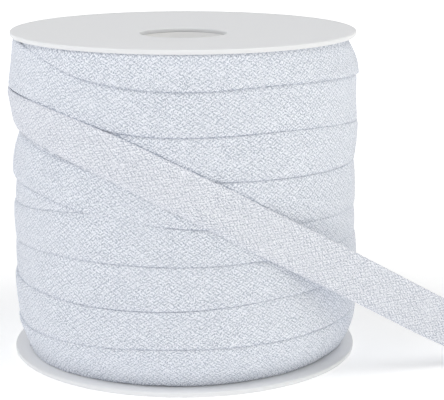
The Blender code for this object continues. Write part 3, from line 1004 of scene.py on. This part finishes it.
class CORD_SPOOL_OT_loose_end(bpy.types.Operator):
    """Makes the cord's loose end, which lies on the winding and is led off to the right"""

    bl_idname = "cord_spool.loose_end"
    bl_label = "Loose End"

    def execute(self, context):
        cord = context.scene.cord_spool_cord
        route = loose_route(COLUMN_LENGTH)
        path = [Vector(row[:3]) for row in route]
        columns = len(path) - 1
        first = column_at(LOOSE_FROM)
        rows = section(cord, cord.loose_taper, LOOSE_TAPER_WIDTH, both_faces=True)
        around = [row[3] for row in rows]
        along, across, high = (table[:, around] for table in braid(first, columns))
        places, lengths = [], [first * COLUMN_LENGTH]
        for i, middle in enumerate(path):
            tangent = path[min(i + 1, columns)] - path[max(i - 1, 0)]
            if i:
                lengths.append(lengths[-1] + (middle - path[i - 1]).length)
            else:
                # The first ring stands upright, against the end of the turn before it.
                tangent.z = 0.0
            shifts = zip(along[i], across[i], high[i])
            tilt = math.radians(route[i][3])
            places.append(self.ring(cord, rows, middle, tangent.normalized(), tilt, shifts))
        painted_shade = np.zeros(high.shape)
        mesh = closed_strip("loose_cord", places, high, painted_shade, lengths, around)
        cotton = bleached_cotton(
            "bleached_cotton_loose", cord.loose_light, cord.loose_shade, LOOSE_CONTRAST
        )
        made = place("loose_cord", mesh, cotton, "loose_end")
        return {"FINISHED"}

    def ring(self, cord, rows, middle, tangent, tilt, shifts):
        """The points of one section across the loose end, at a place on its middle line."""
        level = (Vector((0, 0, 1)) - tangent * tangent.z).normalized()
        facing = tangent.cross(level)
        up = level * math.cos(tilt) + facing * math.sin(tilt)
        out = facing * math.cos(tilt) - level * math.sin(tilt)
        turned_to = math.degrees(math.atan2(middle.x, -middle.y))
        points = []
        for (drop, depth, share, _), (along, across, stand) in zip(rows, shifts):
            proud = stand * cord.relief
            side = math.copysign(math.sqrt(max(0.0, 1 - share * share)), drop - cord.width / 2)
            point = (
                middle
                + up * (cord.width / 2 - drop - across * share - proud * side)
                + out * (cord.thickness / 2 - depth + proud * share)
                - out * float(curled_in(turned_to, drop, cord.width))
                + tangent * along
            )
            point.z = max(point.z, ABOVE_FLOOR)
            points.append(point)
        return points


class CORD_SPOOL_OT_winding(bpy.types.Operator):
    """Makes the wound cord's outer turns, each lying on the one above, and the layers inside"""

    bl_idname = "cord_spool.winding"
    bl_label = "Winding"

    def execute(self, context):
        cord = context.scene.cord_spool_cord
        rows = np.array(section(cord, cord.taper, TAPER_WIDTH, both_faces=False))
        for name, start, end in TURNS:
            self.turn(name, start, end, cord, rows)
        inner = HUB_HIGH.x + HUB_CLEARANCE
        top, foot = WINDING_HIGH.z, WINDING_LOW.z
        profile = [
            (inner, top - DISH_DEPTH),
            (DISH_FLAT_RADIUS, top - DISH_DEPTH),
            (LAYERS_END_RADIUS, top - LAYERS_TOP_DROP),
            (LAYERS_RADIUS, top - TOP_REACH / 2),
            (LAYERS_RADIUS, foot + FOOT_REACH / 2),
            (LAYERS_END_RADIUS, foot),
            (inner, foot),
        ]
        mesh = turned("inner_layers", profile, LAYERS_EDGE, profile[2:6], LAYERS_STEPS)
        cotton = bleached_cotton("bleached_cotton", cord.light, cord.shade, WOUND_CONTRAST)
        place("inner_layers", mesh, cotton, "winding")
        return {"FINISHED"}

    def turn(self, name, start, end, cord, rows):
        """One stretch of the spiral, from a start to an end angle."""
        drops, depths, share, around = rows.T
        row = around.astype(int)
        columns = round((end - start) / COLUMN_ANGLE)
        first = column_at(start)
        along, across, high = (table[:, row] for table in braid(first, columns))
        angle = np.linspace(start, end, columns + 1)[:, None]
        side = np.sqrt(np.maximum(0.0, 1 - share**2)) * np.sign(drops - cord.width / 2)
        drop = drops + across * share + high * cord.relief * side
        turned_by = np.degrees(along / WOUND_RADIUS)
        drop = drop * np.maximum(1.0, (shown_width(angle) + PAST_SEAM) / cord.width)
        face = face_radius(angle, np.maximum(drop, 0.0), cord.thickness)
        height = upper_edge(angle) - drop
        at_top = np.clip(1 - (WINDING_HIGH.z - height) / END_STRETCH, 0.0, 1.0)
        at_foot = np.clip(1 - (height - WINDING_LOW.z) / END_STRETCH, 0.0, 1.0)
        height = height + (UNDER_TOP - WINDING_HIGH.z) * at_top
        height = height - (WINDING_LOW.z - FLANGE_THICKNESS) * at_foot
        height = np.clip(height, FLANGE_THICKNESS, UNDER_TOP)
        radius = face - depths + high * cord.relief * share
        around_z = wrapped(angle + turned_by)
        limit, shaded = under_loose_end(around_z, height, cord.width, cord.thickness)
        if start >= LOOSE_FROM:
            radius = np.minimum(radius, limit - depths)
        else:
            shaded = np.where(around_z > SHADE_FROM, shaded, 0.0)
        turn_angle = np.radians(angle + turned_by)
        places = np.stack(
            (radius * np.sin(turn_angle), -radius * np.cos(turn_angle), height), axis=-1
        )
        lengths = np.arange(first, first + columns + 1) * COLUMN_LENGTH
        # Painted shade where the turn dips under the one below it and along the loose end's upper
        # edge, on the face only.
        over_a_turn = ease((upper_edge(angle + 360.0) - WINDING_LOW.z) / MM)
        painted_shade = np.maximum(tucked(angle, drop) * over_a_turn, shaded)
        painted_shade = np.where(depths < FACE_DEPTH, painted_shade, 0.0)
        mesh = closed_strip(name, places, high, painted_shade, lengths, around)
        cotton = bleached_cotton("bleached_cotton", cord.light, cord.shade, WOUND_CONTRAST)
        place(name, mesh, cotton, "winding")


class CORD_SPOOL_OT_flanges(bpy.types.Operator):
    """Makes the two plastic flanges"""

    bl_idname = "cord_spool.flanges"
    bl_label = "Flanges"

    def execute(self, context):
        spool = context.scene.cord_spool_spool
        plastic = moulded_plastic("moulded_polystyrene", spool.plastic)
        for name, high, dish in (
            ("flange_top", TOP_HIGH, DISH_DEPTH),
            ("flange_bottom", BOTTOM_HIGH, 0.0),
        ):
            upper = [(high.x, high.z)]
            for n in range(DISH_STEPS + 1):
                radius = DISH_RIM_RADIUS + (DISH_FLAT_RADIUS - DISH_RIM_RADIUS) * n / DISH_STEPS
                upper.append((radius, high.z - dish * float(ease(n / DISH_STEPS))))
            upper.append((BORE_RADIUS, high.z - dish))
            lower = [(radius, height - FLANGE_THICKNESS) for radius, height in reversed(upper)]
            sharp = (upper[0], upper[-1], lower[0], lower[-1])
            mesh = turned(name + "_disc", upper + lower, spool.edge, sharp, FLANGE_STEPS)
            place(name + "_disc", mesh, plastic, name)
        return {"FINISHED"}


class CORD_SPOOL_OT_hub(bpy.types.Operator):
    """Makes the hub tube between the flanges"""

    bl_idname = "cord_spool.hub"
    bl_label = "Hub"

    def execute(self, context):
        spool = context.scene.cord_spool_spool
        top, foot = TOP_LOW.z, FLANGE_THICKNESS
        profile = [(HUB_HIGH.x, top), (BORE_RADIUS, top), (BORE_RADIUS, foot), (HUB_HIGH.x, foot)]
        mesh = turned("hub_wall", profile, HUB_EDGE, profile, HUB_STEPS)
        # The hub's lighter plastic is painted light in the dim bore.
        plastic = moulded_plastic("moulded_polystyrene_hub_painted_light", spool.hub)
        place("hub_wall", mesh, plastic, "hub_tube")
        return {"FINISHED"}


class CORD_SPOOL_OT_stage(bpy.types.Operator):
    """Makes the pale floor, the soft light and the camera"""

    bl_idname = "cord_spool.stage"
    bl_label = "Stage"

    def execute(self, context):
        scene = context.scene
        stage = scene.cord_spool_stage
        shape = bmesh.new()
        bmesh.ops.create_grid(shape, x_segments=1, y_segments=1, size=FLOOR_SIZE)
        mesh = to_mesh("floor", shape)
        mesh.materials.append(white_paper("white_paper", stage.floor))
        floor = bpy.data.objects.new("floor", mesh)
        scene.collection.objects.link(floor)
        scene.world = white_room("white_room")

        for name, spot, size, watts, colour in LAMPS:
            lamp = bpy.data.lights.new(name, "AREA")
            lamp.size = size
            lamp.energy = watts
            lamp.color = colour
            light = bpy.data.objects.new(name, lamp)
            light.location = spot
            aim = Vector(LAMP_AIM) - Vector(spot)
            light.rotation_euler = aim.to_track_quat("-Z", "Y").to_euler()
            scene.collection.objects.link(light)

        view = bpy.data.cameras.new("photo_view")
        view.lens = stage.lens
        view.sensor_width = SENSOR_WIDTH
        camera = bpy.data.objects.new("photo_view", view)
        camera.location = CAMERA_PLACE
        camera.rotation_euler = CAMERA_TURN
        scene.collection.objects.link(camera)
        scene.camera = camera
        scene.view_settings.view_transform = "Standard"
        return {"FINISHED"}


class CORD_SPOOL_PT_sidebar(bpy.types.Panel):
    """Lists the spool's settings and the steps that build it"""

    bl_idname = "CORD_SPOOL_PT_sidebar"
    bl_label = "Cord Spool"
    bl_space_type = "VIEW_3D"
    bl_region_type = "UI"
    bl_category = "Cord Spool"

    def draw(self, context):
        for group in ("cord_spool_cord", "cord_spool_spool", "cord_spool_stage"):
            box = self.layout.box()
            settings = getattr(context.scene, group)
            for name in settings.__annotations__:
                box.prop(settings, name)
        for operator in OPERATORS:
            self.layout.operator(operator.bl_idname)


OPERATORS = (
    CORD_SPOOL_OT_stage,
    CORD_SPOOL_OT_loose_end,
    CORD_SPOOL_OT_winding,
    CORD_SPOOL_OT_flanges,
    CORD_SPOOL_OT_hub,
)
CLASSES = (CordProperties, SpoolProperties, StageProperties, *OPERATORS, CORD_SPOOL_PT_sidebar)


def register():
    for made in CLASSES:
        bpy.utils.register_class(made)
    bpy.types.Scene.cord_spool_cord = bpy.props.PointerProperty(type=CordProperties)
    bpy.types.Scene.cord_spool_spool = bpy.props.PointerProperty(type=SpoolProperties)
    bpy.types.Scene.cord_spool_stage = bpy.props.PointerProperty(type=StageProperties)


def unregister():
    del bpy.types.Scene.cord_spool_cord
    del bpy.types.Scene.cord_spool_spool
    del bpy.types.Scene.cord_spool_stage
    for made in reversed(CLASSES):
        bpy.utils.unregister_class(made)


def main():
    register()
    bpy.ops.cord_spool.stage()
    bpy.ops.cord_spool.loose_end()
    bpy.ops.cord_spool.winding()
    bpy.ops.cord_spool.flanges()
    bpy.ops.cord_spool.hub()


if __name__ == "__main__":
    main()
